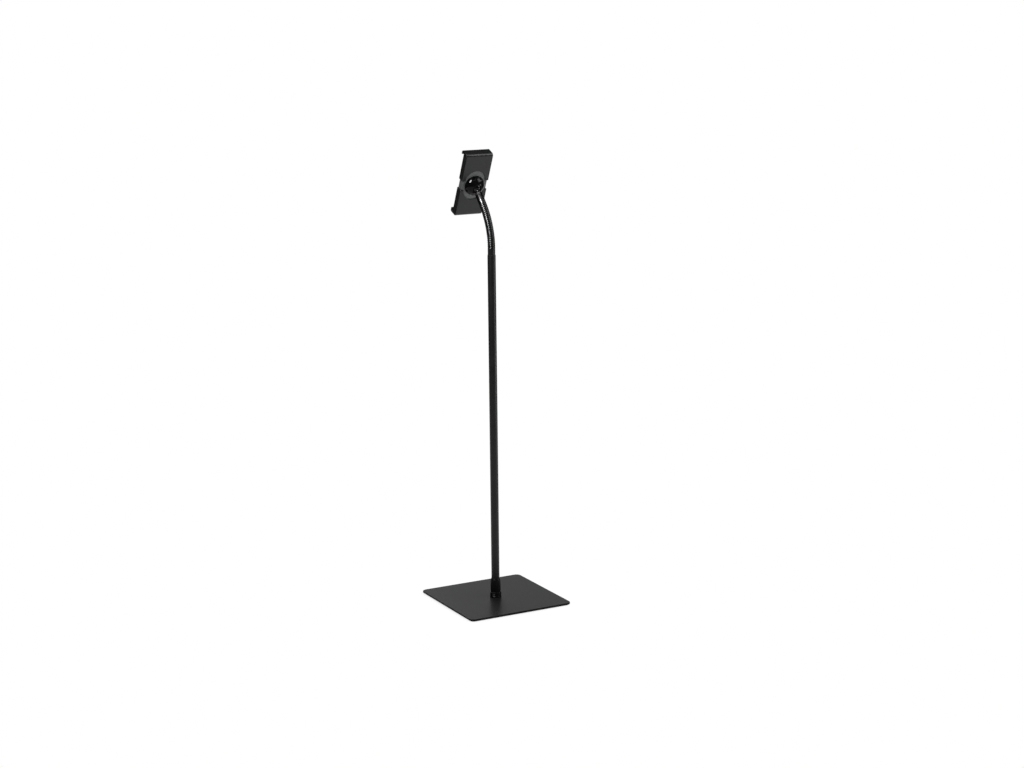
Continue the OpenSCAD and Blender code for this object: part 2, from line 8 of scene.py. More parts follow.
import bmesh
import bpy
import numpy as np
from bpy.props import FloatProperty, FloatVectorProperty, IntProperty, PointerProperty
from mathutils import Matrix, Vector


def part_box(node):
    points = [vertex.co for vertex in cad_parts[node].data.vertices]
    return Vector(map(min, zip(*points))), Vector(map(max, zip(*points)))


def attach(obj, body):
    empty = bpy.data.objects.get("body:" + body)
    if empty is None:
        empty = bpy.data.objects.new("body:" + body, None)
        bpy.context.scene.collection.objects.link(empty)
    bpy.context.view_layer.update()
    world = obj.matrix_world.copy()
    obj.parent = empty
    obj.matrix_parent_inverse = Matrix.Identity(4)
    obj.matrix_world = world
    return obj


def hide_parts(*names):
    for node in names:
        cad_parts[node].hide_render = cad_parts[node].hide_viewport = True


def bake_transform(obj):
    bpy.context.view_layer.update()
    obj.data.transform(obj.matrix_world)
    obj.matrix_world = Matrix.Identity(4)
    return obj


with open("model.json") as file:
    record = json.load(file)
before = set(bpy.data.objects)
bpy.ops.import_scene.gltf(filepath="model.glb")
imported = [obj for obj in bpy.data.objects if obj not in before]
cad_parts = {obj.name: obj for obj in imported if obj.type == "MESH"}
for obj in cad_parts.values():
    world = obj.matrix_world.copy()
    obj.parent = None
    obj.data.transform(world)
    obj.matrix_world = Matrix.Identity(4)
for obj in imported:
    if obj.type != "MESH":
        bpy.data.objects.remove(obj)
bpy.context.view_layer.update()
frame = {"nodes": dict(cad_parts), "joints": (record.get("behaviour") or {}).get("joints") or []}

bl_info = {
    "name": "Tablet floor stand",
    "version": (1, 0, 0),
    "blender": (4, 5, 0),
    "location": "View3D > Sidebar > Stand",
    "description": "Builds the visible pieces of a tablet floor stand around its packed solids",
    "category": "Object",
}

MM = 0.001
QUARTER = math.pi / 2
# Columns around a turned piece
COLUMNS = 96
JOINTS = {joint["name"]: joint for joint in frame["joints"]}


# Places read from the frame

def mesh_points(mesh):
    """Points of a mesh, one row each."""
    flat = np.empty(len(mesh.vertices) * 3, np.float32)
    mesh.vertices.foreach_get("co", flat)
    return flat.reshape(-1, 3).astype(float)


def corners(node):
    """Points of a solid's mesh, one row each."""
    return mesh_points(frame["nodes"][node].data)


def reach(node, origin, axes):
    """Lowest and highest value of a solid along each axis, counted from the origin."""
    along = (corners(node) - origin) @ np.asarray(axes).T
    return along.min(0), along.max(0)


def radii(node, origin, axis, low=-math.inf, high=math.inf):
    """Smallest and largest distance from an axis of a solid's points between two heights along it."""
    off = corners(node) - origin
    height = off @ axis
    away = np.linalg.norm(off - height[:, None] * axis, axis=1)
    kept = away[(height > low) & (height < high)]
    return kept.min(), kept.max()


def unit(vector):
    """The same direction with length one."""
    return vector / np.linalg.norm(vector, axis=-1, keepdims=True)


SIDE = np.array([1.0, 0.0, 0.0])
DEEP = np.array([0.0, 1.0, 0.0])
UP = np.array([0.0, 0.0, 1.0])
POLE_AXIS = (np.zeros(3), UP)
BALL = np.array(JOINTS["ball_tilt"]["pos_m"])
REAR = unit(np.array(JOINTS["holder_turn"]["axis"], float))
RISE = unit(np.array(JOINTS["upper_jaw_slide"]["axis"], float))
ACROSS = np.cross(RISE, REAR)
CLAMP_AXES = np.array([ACROSS, RISE, REAR])
STUD_AXIS = unit(np.array(JOINTS["ball_spin"]["axis"], float))
NECK_JOINTS = [joint for joint in frame["joints"] if joint["name"].startswith("neck_")]
NECK_PLACES = np.array([joint["pos_m"] for joint in NECK_JOINTS])
NECK_TOP = NECK_PLACES[-1]
# How far the winding shows beyond its outer joints
NECK_SEAM = 1 * MM
# Rounding of small edges, and the margin for picking points
SOFT = 0.2 * MM
# Gap around a screw
PLAY = 0.06 * MM
# Merging distances in a new grid and in a copied solid
GRID_MERGE = 1e-7
SOLID_MERGE = 1e-6
# Angles below which a copied solid's faces are one, and above which their edge is sharp
FLAT_ANGLE = math.radians(0.5)
SHARP_ANGLE = math.radians(35)
# The material of each slot
FINISHES = {}


# Surfaces

def rounded(outline, steps=7):
    """Closed outline of (radius, height, rounding) corners, each cut by an arc tangent to both sides.

    The arc's centre lies on the corner's bisector at rounding / sin(half angle); its points are a spherical
    interpolation between the two tangent points.
    """
    points, radius = np.split(np.array(outline, float), [2], 1)
    back = unit(np.roll(points, 1, 0) - points)
    ahead = unit(np.roll(points, -1, 0) - points)
    half = np.arccos(np.clip((back * ahead).sum(1, keepdims=True), -1, 1)) / 2
    centre = points + unit(back + ahead) * radius / np.sin(half)
    start = points + back * radius / np.tan(half) - centre
    end = points + ahead * radius / np.tan(half) - centre
    turn = (math.pi - 2 * half)[:, None]
    t = np.linspace(0, 1, steps)[None, :, None]
    arc = np.sin((1 - t) * turn) * start[:, None] + np.sin(t * turn) * end[:, None]
    return (centre[:, None] + arc / np.sin(turn)).reshape(-1, 2)


def smooth_step(t):
    """0 below 0, 1 above 1 and t * t * (3 - 2 t) between."""
    t = np.clip(t, 0, 1)
    return t * t * (3 - 2 * t)


def soft_minimum(first, second, soft):
    """The smaller of two values, joined by a parabola where they differ by less than soft."""
    share = np.clip(0.5 + 0.5 * (first - second) / soft, 0, 1)
    return first * (1 - share) + second * share - soft * share * (1 - share)


def saw(t):
    """Triangle wave of period one: 1 at whole numbers and 0 halfway between them."""
    return np.abs(2 * (t - np.floor(t)) - 1)


def whole_turn(count):
    """Angles evenly around a full turn."""
    return 2 * math.pi * np.arange(count) / count


def circle(angle, first=SIDE, second=DEEP):
    """Points cos a * first + sin a * second."""
    return np.cos(angle)[:, None] * first + np.sin(angle)[:, None] * second


def grid_faces(rows, columns, wrap_rows=True, wrap_columns=True):
    """Quads of a grid of points stored row by row; a wrapped side joins its last points to its first."""
    row = np.arange(rows if wrap_rows else rows - 1)[:, None]
    left = np.arange(columns if wrap_columns else columns - 1)
    right = (left + 1) % columns
    above, below = row * columns, (row + 1) % rows * columns
    return np.stack([above + left, above + right, below + right, below + left], -1).reshape(-1, 4)


def volume(points, faces):
    """Signed volume inside a closed surface of quads: a sixth of the sum of its corners' triple products."""
    a, b, c, d = (points[faces[:, k]] for k in range(4))
    return ((a * np.cross(b, c)).sum() + (a * np.cross(c, d)).sum()) / 6


def add_object(name, mesh, material):
    """Links a mesh to the scene as an object at the origin with one material."""
    made = bpy.data.objects.new(name, mesh)
    bpy.context.scene.collection.objects.link(made)
    made.data.materials.append(material)
    return made


def add_piece(name, mesh, slot, sharp):
    """Adds a smooth mesh with the finish of a record's slot; edges above the sharp angle stay crisp."""
    mesh.shade_smooth()
    mesh.set_sharp_from_angle(angle=sharp)
    piece = add_object(name, mesh, FINISHES[slot])
    return piece


def add_surface(name, points, slot, sharp=38, wrap_rows=True):
    """Adds a closed grid of points: faces turned outwards, poles merged, the sharp angle in degrees."""
    flat = points.reshape(-1, 3)
    faces = grid_faces(*points.shape[:2], wrap_rows=wrap_rows)
    if volume(flat, faces) < 0:
        faces = faces[:, ::-1]
    mesh = bpy.data.meshes.new(name)
    mesh.from_pydata(flat.tolist(), [], faces.tolist())
    shell = bmesh.new()
    shell.from_mesh(mesh)
    bmesh.ops.remove_doubles(shell, verts=shell.verts, dist=GRID_MERGE)
    shell.to_mesh(mesh)
    shell.free()
    return add_piece(name, mesh, slot, math.radians(sharp))


def add_turned(name, radius, height, origin, axis, slot, columns=COLUMNS, **surface):
    """Adds a surface of revolution: a row's point at angle a lies at origin + radius * (cos a, sin a) across
    the axis + height along it. The radius is one value for each row, or one for each row and angle."""
    first = unit(np.cross(np.cross(axis, SIDE), axis))
    ring = circle(whole_turn(columns), first, np.cross(axis, first))
    radius = np.broadcast_to(radius.reshape(len(height), -1), (len(height), columns))
    points = origin + radius[:, :, None] * ring + height[:, None, None] * axis
    return add_surface(name, points, slot, **surface)


def add_eased_copy(name, node, slot, width, outside):
    """Adds a merged copy of a solid. Its sharp outward edges get a rounding of this width where both ends lie
    outside, a test that takes points in the clamp's axes."""
    shell = bmesh.new()
    shell.from_mesh(frame["nodes"][node].data)
    bmesh.ops.remove_doubles(shell, verts=shell.verts, dist=SOLID_MERGE)
    bmesh.ops.dissolve_limit(shell, angle_limit=FLAT_ANGLE, verts=shell.verts, edges=shell.edges)
    sharp = np.array([
        edge.is_manifold and edge.is_convex and edge.calc_face_angle() > SHARP_ANGLE for edge in shell.edges])
    mesh = bpy.data.meshes.new(name)
    shell.to_mesh(mesh)
    shell.free()
    free = outside((mesh_points(mesh) - BALL) @ CLAMP_AXES.T)
    ends = np.empty(len(mesh.edges) * 2, np.int32)
    mesh.edges.foreach_get("vertices", ends)
    weight = (sharp & free[ends.reshape(-1, 2)].all(1)).astype(np.float32)
    mesh.attributes.new("bevel_weight_edge", "FLOAT", "EDGE").data.foreach_set("value", weight)
    if mesh.has_custom_normals:
        mesh.attributes.remove(mesh.attributes["custom_normal"])
    made = add_piece(name, mesh, slot, SHARP_ANGLE)
    bevel = made.modifiers.new("eased edges", "BEVEL")
    bevel.limit_method = "WEIGHT"
    bevel.width = width
    bevel.segments = 3
    bevel.use_clamp_overlap = False
    bevel.harden_normals = True
    return made


def stand_for(piece, body, node):
    """Lets a piece move with a body and stand for a solid."""
    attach(piece, body)
    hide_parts(node)


# Finishes

class Wire:
    """A socket of a node tree. Arithmetic on wires adds Math nodes; node() adds any other node."""

    def __init__(self, tree, socket=None):
        self.tree = tree
        self.socket = socket

    def node(self, kind, settings=None, sockets=None, out=0):
        """Adds a node, sets its settings, then gives each socket a value or a wire; returns one output."""
        made = self.tree.nodes.new("ShaderNode" + kind)
        for name, value in (settings or {}).items():
            setattr(made, name, value)
        for name, value in (sockets or {}).items():
            if isinstance(value, Wire):
                self.tree.links.new(value.socket, made.inputs[name])
            else:
                made.inputs[name].default_value = value
        return Wire(self.tree, made.outputs[out] if len(made.outputs) else None)

    def math(self, operation, first, second):
        """A Math node on two values or wires."""
        return self.node("Math", {"operation": operation}, {0: first, 1: second})

    def __add__(self, other):
        return self.math("ADD", self, other)

    def __sub__(self, other):
        return self.math("SUBTRACT", self, other)

    def __rsub__(self, other):
        return self.math("SUBTRACT", other, self)

    def __mul__(self, other):
        return self.math("MULTIPLY", self, other)

    __radd__ = __add__
    __rmul__ = __mul__

    def between(self, low, high):
        """0 at low and 1 at high, clipped."""
        return self.node("MapRange", {"clamp": True}, {"Value": self, "From Min": low, "From Max": high})


def shades(share, colour, *factors):
    """A colour times the first factor where the share is 0, and times the second where it is 1."""
    first, second = ((*(factor * np.array(colour)), 1) for factor in factors)
    return share.node("Mix", {"data_type": "RGBA"}, {0: share, 6: first, 7: second}, out=2)


class Finish:
    """A material in the making: its tree, its place on the piece and its shader."""

    def __init__(self, name):
        self.material = bpy.data.materials.new(name)
        self.material.use_nodes = True
        tree = self.material.node_tree
        tree.nodes.clear()
        self.wire = Wire(tree)
        self.place = self.wire.node("TexCoord", out="Object")

    def noise(self, size, detail=3, stretch=(1, 1, 1)):
        """Cloudy noise between 0 and 1 whose lumps are about this size; stretch scales it along each axis."""
        place = self.wire.node("Mapping", sockets={"Vector": self.place, "Scale": stretch})
        return self.wire.node("TexNoise", sockets={"Vector": place, "Scale": 1 / size, "Detail": detail})

    def bump(self, height, depth):
        """Normal of a surface raised by the height wire times a depth in metres."""
        return self.wire.node("Bump", sockets={"Height": height, "Distance": depth, "Strength": 1.0})

    def shown(self, shader):
        """Lets the material show a shader and returns the material."""
        self.wire.node("OutputMaterial", sockets={"Surface": shader})
        return self.material

    def done(self, sockets):
        """Gives the main shader its sockets and returns the material."""
        return self.shown(self.wire.node("BsdfPrincipled", sockets=sockets))


def plate_coat(colour):
    """Smooth matt powder coat: a fine grain, faint clouds in colour and sheen."""
    made = Finish("powder coat")
    grain = made.noise(0.9 * MM, detail=2)
    clouds = made.noise(70 * MM)
    shade = 0.3 * grain.between(0.35, 0.7) + 0.6 * clouds.between(0.3, 0.7)
    return made.done({
        "Base Color": shades(shade, colour, 0.75, 1.3),
        "Roughness": 0.3 + 0.1 * clouds - 0.04 * grain,
        "Normal": made.bump(grain, depth=0.004 * MM),
        "Specular IOR Level": 0.03,
    })


def pole_coat(colour):
    """Satin paint on a drawn tube: a faint orange peel and cloudy sheen."""
    made = Finish("satin paint")
    peel = made.noise(3 * MM, detail=2)
    clouds = made.noise(40 * MM, detail=2)
    return made.done({
        "Base Color": shades(clouds.between(0.3, 0.7), colour, 0.85, 1.2),
        "Roughness": 0.3 + 0.06 * clouds + 0.03 * peel,
        "Normal": made.bump(peel, depth=0.004 * MM),
        "Specular IOR Level": 0.2,
    })


def black_trim(colour):
    """Black enamel on the turned pieces, with a slight ripple and hair marks in its shine."""
    made = Finish("black enamel")
    ripple = made.noise(3 * MM, detail=1)
    hairs = made.noise(0.8 * MM, detail=2, stretch=(1, 1, 6))
    return made.done({
        "Base Color": shades(hairs.between(0.4, 0.7), colour, 0.8, 1.3),
        "Roughness": 0.28 + 0.1 * hairs,
        "Normal": made.bump(ripple, depth=0.004 * MM),
        "Specular IOR Level": 0.07,
    })


def plated(name, colour, roughness, edge):
    """Plated metal: fine turning marks and cloudy dulling; edge is its tint at a glancing view."""
    made = Finish(name)
    marks = made.noise(0.4 * MM, detail=2, stretch=(1, 1, 3))
    dull = made.noise(6 * MM)
    return made.done({
        "Base Color": shades(dull.between(0.3, 0.75), colour, 1, 0.7),
        "Metallic": 0.9 + 0.1 * dull,
        "Roughness": roughness + 0.1 * dull + 0.04 * marks,
        "Normal": made.bump(marks, depth=0.003 * MM),
        "Specular Tint": (edge, edge, edge, 1),
        "Specular IOR Level": 0.2,
    })


def moulded(name, colour, grain_size, grain_depth, roughness, gloss):
    """Moulded plastic: an eroded-mould grain and faint flow clouds."""
    made = Finish(name)
    grain = made.noise(grain_size)
    flow = made.noise(22 * MM)
    shade = 0.3 * grain.between(0.35, 0.7) + 0.5 * flow.between(0.3, 0.7)
    return made.done({
        "Base Color": shades(shade, colour, 0.85, 1.2),
        "Roughness": roughness + 0.08 * flow - 0.05 * grain,
        "Normal": made.bump(grain, grain_depth),
        "Specular IOR Level": gloss,
    })


def rubber_black(colour):
    """Soft black rubber: a close pebble and paler rubbed patches."""
    made = Finish("rubber")
    pebble_size = 0.9 * MM
    pebble = made.wire.node(
        "TexVoronoi", {"feature": "F1"}, {"Vector": made.place, "Scale": 1 / pebble_size})
    rubbed = made.noise(14 * MM)
    return made.done({
        "Base Color": shades(rubbed.between(0.45, 0.75), colour, 1, 1.8),
        "Roughness": 0.78 + 0.12 * rubbed,
        "Normal": made.bump(1 - pebble, depth=0.04 * MM),
        "Specular IOR Level": 0.2,
    })


# Sizes and colours

def length(title, about, millimetres):
    """A length property, given in millimetres and kept in metres."""
    return FloatProperty(
        name=title, description=about, default=millimetres * MM, unit="LENGTH", subtype="DISTANCE")


def degrees(title, about, angle):
    """An angle property, given in degrees and kept in radians."""
    return FloatProperty(name=title, description=about, default=math.radians(angle), subtype="ANGLE")


def whole(title, about, number, least, most):
    """A property that counts something."""
    return IntProperty(name=title, description=about, default=number, min=least, max=most)


def tint(title, about, colour):
    """A linear colour property."""
    return FloatVectorProperty(name=title, description=about, default=colour, subtype="COLOR", min=0, max=1)


class StandSizes(bpy.types.PropertyGroup):
    """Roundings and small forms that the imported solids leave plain."""

    plate_corner: length("Plate corner", "Radius of the plate's corners", 14)
    plate_edge: length("Plate edge", "Rounding of the plate's edges", 0.9)
    hub_groove: length("Hub groove", "Depth of the two grooves around the hub", 0.7)
    hub_shoulder: length("Hub shoulder", "Rounding of the hub's upper edge", 1.2)
    collar_round: length("Collar rounding", "Rounding where the collar starts to taper", 3)
    trim_edge: length("Trim edge", "Rounding of the turned pieces' edges", 0.5)
    ferrule_edge: length("Ferrule edge", "Rounding of the ferrules' ends", 0.9)
    rib_pitch: length("Rib pitch", "Distance from turn to turn of the winding", 5.4)
    rib_depth: length("Rib depth", "Depth of the groove between two turns", 1.2)
    rib_share: FloatProperty(
        name="Rib share", description="Share of the pitch that a turn covers", default=0.9, min=0.4, max=1)
    neck_bore: length("Neck bore", "Radius of the hole along the gooseneck", 5)
    neck_tuck: length("Neck tuck", "Length of the winding hidden in each ferrule", 1.5)
    thread_pitch: length("Thread pitch", "Pitch of the stud's thread", 1.5)
    thread_depth: length("Thread depth", "Depth of the stud's thread", 0.5)
    dome_radius: length("Dome radius", "Radius of the ring nut's dome", 30.5)
    nut_edge: length("Nut edge", "Rounding of the ring nut's lower edge", 0.9)
    hollow_count: whole("Finger hollows", "Hollows around the ring nut", 8, 3, 12)
    hollow_radius: length("Hollow radius", "Radius of each finger hollow", 7.5)
    hollow_offset: length("Hollow offset", "From the ring nut's rim out to a hollow's axis", 6.4)
    hollow_blend: length("Hollow blend", "Softness of a hollow's edges", 1.1)
    shoulder_blend: length("Shoulder blend", "Softness of the ring nut's shoulder", 4)
    sleeve_edge: length("Sleeve edge", "Rounding of the clamp sleeves' edges", 0.9)
    sleeve_wall: length("Sleeve wall", "Depth of the clamp sleeves' rear that gets round edges", 2.4)
    shell_edge: length("Shell edge", "Rounding of the clamp body's edges", 0.7)
    spring_wire: length("Spring wire", "Wire diameter of the springs", 1)
    spring_turns: whole("Spring turns", "Turns of each spring", 24, 4, 40)


class StandColours(bpy.types.PropertyGroup):
    """Linear base colours of the finishes."""

    plate: tint("Plate", "Powder coat of the plate", (0.009, 0.009, 0.009))
    pole: tint("Pole", "Satin paint of the pole and the lower ferrule", (0.007, 0.007, 0.007))
    trim: tint("Trim", "Enamel of the hub and the collar", (0.004, 0.004, 0.004))
    neck: tint("Neck", "Plating of the winding and the upper ferrule", (0.03, 0.03, 0.0305))
    steel: tint("Steel", "Plating of the fasteners", (0.55, 0.55, 0.56))
    dark_steel: tint("Dark steel", "Plating of the ball stud and its lock nut", (0.03, 0.03, 0.0305))
    rubber: tint("Rubber", "Mat and linings", (0.014, 0.014, 0.014))
    sleeve: tint("Sleeve", "Clamp sleeves", (0.005, 0.0056, 0.0052))
    body: tint("Body", "Clamp body", (0.095, 0.099, 0.097))
    nut: tint("Nut", "Ring nut", (0.003, 0.003, 0.003))
    nylon: tint("Nylon", "Seat and pinion", (0.72, 0.71, 0.67))


class StandStudio(bpy.types.PropertyGroup):
    """Camera, floor and dark walls."""

    camera_at: FloatVectorProperty(
        name="Camera", description="Place of the camera", default=(2.4419, 4.6843, 1.6822),
        subtype="TRANSLATION", unit="LENGTH")
    camera_turn: degrees("Turn", "Turn of the view from straight behind", -28.081)
    camera_pitch: degrees("Pitch", "Pitch of the view from the horizon", -11.588)
    camera_roll: degrees("Roll", "Roll of the view", -0.596)
    focal_pixels: FloatProperty(
        name="Focal length", description="Focal length in pixels of a frame 1024 wide",
        default=2013.9, min=100)
    floor_radius: length("Floor radius", "Radius of the round floor", 5000)
    ambient: FloatProperty(
        name="Ambient", description="Even light from all around", default=0.65, min=0, max=2)
    wall_radius: length("Wall radius", "Radius of the studio's dark walls", 2700)
    wall_height: length("Wall height", "Height of the studio's dark walls", 4200)
    opening_height: length("Opening height", "Height of the gap in the dark walls", 2000)
    opening: degrees("Opening", "Half the gap in the dark walls behind the stand", 30)


def sizes():
    """The sizes of the scene's stand."""
    return bpy.context.scene.stand_sizes


def make_finishes():
    """Makes the finish of each material slot once, from the scene's colours."""
    colours = bpy.context.scene.stand_colours
    FINISHES.update({
        "plate_coat": plate_coat(colours.plate),
        "pole_coat": pole_coat(colours.pole),
        "black_trim": black_trim(colours.trim),
        "neck_black": plated("black plating", colours.neck, roughness=0.13, edge=0.15),
        "steel": plated("bright plating", colours.steel, roughness=0.24, edge=0.9),
        "dark_steel": plated("dark plating", colours.dark_steel, roughness=0.13, edge=0.15),
        "rubber_black": rubber_black(colours.rubber),
        "jaw_plastic": moulded(
            "sleeve plastic", colours.sleeve, 0.5 * MM, 0.008 * MM, roughness=0.3, gloss=0.4),
        "body_plastic": moulded(
            "body plastic", colours.body, 0.6 * MM, 0.012 * MM, roughness=0.4, gloss=0.3),
        "nut_plastic": moulded(
            "nut plastic", colours.nut, 2.5 * MM, 0.003 * MM, roughness=0.07, gloss=0.1),
        "white_plastic": moulded(
            "nylon", colours.nylon, 0.8 * MM, 0.01 * MM, roughness=0.42, gloss=0.4),
    })


def carry(slot, *nodes):
    """Gives solids that keep their own shape a finish."""
    for node in nodes:
        mesh = frame["nodes"][node].data
        mesh.materials.clear()
        mesh.materials.append(FINISHES[slot])


# Pieces

class STAND_OT_plate(bpy.types.Operator):
    """Adds the coated plate with its mat and bolt"""

    bl_idname = "stand.plate"
    bl_label = "Plate"

    CORNER_POINTS = 17
    EDGE_POINTS = 6

    def execute(self, context):
        low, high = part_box("base_plate")
        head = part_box("base_bolt")[1].x
        points = self.surface(high.x - low.x, low.z, high.z, head)
        stand_for(add_surface("plate", points, "plate_coat"), "stand", "base_plate")
        carry("rubber_black", "base_mat")
        carry("steel", "base_bolt")
        return {"FINISHED"}

    def surface(self, side, bottom, top, head):
        """Rounded square: corner centre + (corner radius - inset) * direction, where the inset and height
        follow two quarter arcs at the edge; its first and last rows are the rims of the countersunk hole."""
        corner = sizes().plate_corner
        edge = sizes().plate_edge
        quarter = np.linspace(0, QUARTER, self.CORNER_POINTS)
        start = QUARTER * np.arange(4)[:, None]
        direction = circle((start + quarter).ravel())[:, :2]
        middle = np.repeat(start + QUARTER / 2, len(quarter))
        centre = (side / 2 - corner) * np.sign(circle(middle)[:, :2])
        lower = np.linspace(-QUARTER, 0, self.EDGE_POINTS)
        upper = lower + QUARTER
        flat_inset = [1.5 * edge]
        inset = np.concatenate([flat_inset, edge * (1 - np.cos([*lower, *upper])), flat_inset])
        rise = [bottom + edge + edge * np.sin(lower), top - edge + edge * np.sin(upper)]
        height = np.concatenate([[bottom, bottom], *rise, [top, top]])
        outline = centre + (corner - inset)[:, None, None] * direction
        around = unit(outline[:1])
        narrow = head - (top - bottom)
        flat = np.concatenate([around * (head + PLAY), outline, around * (narrow + PLAY)])
        return np.concatenate([flat, np.broadcast_to(height[:, None, None], (*flat.shape[:2], 1))], 2)


class STAND_OT_pole(bpy.types.Operator):
    """Adds the hub, the collar with its set screw, the pole and the lower ferrule"""

    bl_idname = "stand.pole"
    bl_label = "Pole"

    # Heights of the hub's grooves, as shares of its own
    GROOVES = (0.28, 0.62)
    # Degrees to each side of the set screw that have close columns
    HOLE_ANGLE = 16
    HOLE_ROWS = 49
    HOLE_COLUMNS = 65
    PLAIN_COLUMNS = 82

    def execute(self, context):
        low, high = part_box("pole_tube")
        inner, outer = radii("pole_tube", *POLE_AXIS)
        self.hub(low.z)
        self.collar()
        outline = rounded([
            (inner, low.z, SOFT / 2), (outer, low.z, SOFT / 2),
            (outer, high.z, sizes().trim_edge), (inner, high.z, SOFT / 2),
        ])
        stand_for(add_turned("pole", *outline.T, *POLE_AXIS, "pole_coat"), "stand", "pole_tube")
        self.ferrule(high.z)
        carry("steel", "collar_set_screw", "pole_top_insert")
        return {"FINISHED"}

    def hub(self, face):
        """Outline of the hub: foot, two round-bottomed grooves, eased shoulder, spigot inside the pole."""
        low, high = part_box("base_hub")
        bore, radius = radii("base_hub", *POLE_AXIS)
        spigot = radii("base_hub", *POLE_AXIS, low=face + SOFT)[1]
        depth = sizes().hub_groove
        half_width = 1.3 * depth
        soft = 1.5 * SOFT
        grooves = [
            (radius - inward, low.z + share * (face - low.z) + offset, soft)
            for share in self.GROOVES
            for inward, offset in ((0, -half_width), (depth, 0), (0, half_width))
        ]
        outline = rounded([
            (bore, low.z, soft), (radius, low.z, soft), *grooves, (radius, face, sizes().hub_shoulder),
            (spigot, face, soft), (spigot, high.z, sizes().trim_edge), (bore, high.z, soft),
        ], steps=6)
        stand_for(add_turned("hub", *outline.T, *POLE_AXIS, "black_trim"), "stand", "base_hub")

    def collar(self):
        """Collar radius follows its outline and drops to the bore inside the set screw's hole:
        r - (r - bore) * (1 - step((distance to the screw's axis - hole radius) / lip))."""
        low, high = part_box("pole_collar")
        screw_low, screw_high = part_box("collar_set_screw")
        screw_z = (screw_low.z + screw_high.z) / 2
        hole = screw_high.x + PLAY
        lip = 1.5 * SOFT
        bore, outer = radii("pole_collar", *POLE_AXIS)
        top = radii("pole_collar", *POLE_AXIS, low=high.z - SOFT)[1]
        at = corners("pole_collar")
        taper_z = at[np.hypot(at[:, 0], at[:, 1]) > outer - SOFT / 4, 2].max()
        outline = rounded([
            (bore, low.z, SOFT / 4), (outer, low.z, sizes().trim_edge),
            (outer, taper_z, sizes().collar_round), (top, high.z, SOFT), (bore, high.z, SOFT / 4),
        ], steps=8)
        close_reach = 1.6 * hole
        close_z = screw_z + close_reach * np.linspace(-1, 1, self.HOLE_ROWS)
        close = np.stack([np.full(len(close_z), outer), close_z], 1)
        # The collar's straight side is the outline's first long step; the close rows go into it
        long_step = 4 * hole
        first = int(np.argmax(np.diff(outline[:, 1]) > long_step)) + 1
        rows = np.concatenate([outline[:first], close, outline[first:]])
        near = np.linspace(-self.HOLE_ANGLE, self.HOLE_ANGLE, self.HOLE_COLUMNS)
        far = np.linspace(self.HOLE_ANGLE, 360 - self.HOLE_ANGLE, self.PLAIN_COLUMNS + 2)[1:-1]
        angle = np.radians(np.concatenate([near, far])) - QUARTER
        radius = np.broadcast_to(rows[:, :1], (len(rows), len(angle)))
        off = np.hypot(rows[:, 1:] - screw_z, radius * np.cos(angle))
        inside = (1 - smooth_step((off - hole) / lip)) * (np.sin(angle) < 0) * (radius > top)
        radius = radius - (radius - bore) * inside
        points = radius[:, :, None] * circle(angle) + rows[:, 1, None, None] * UP
        stand_for(add_surface("collar", points, "black_trim"), "stand", "pole_collar")

    def ferrule(self, foot):
        """Outline of the lower ferrule: spigot in the plug, shoulder on the pole, sleeve, round top."""
        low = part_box("neck_lower_ferrule")[0]
        bore, radius = radii("neck_lower_ferrule", *POLE_AXIS)
        pin = radii("neck_lower_ferrule", *POLE_AXIS, high=foot - SOFT)[1]
        top = NECK_PLACES[0, 2] - NECK_SEAM
        outline = rounded([
            (bore, low.z, SOFT), (pin, low.z, SOFT), (pin, foot, SOFT), (radius, foot, sizes().trim_edge),
            (radius, top, sizes().ferrule_edge), (bore, top, SOFT),
        ])
        piece = add_turned("lower_ferrule", *outline.T, *POLE_AXIS, "pole_coat")
        stand_for(piece, "stand", "neck_lower_ferrule")


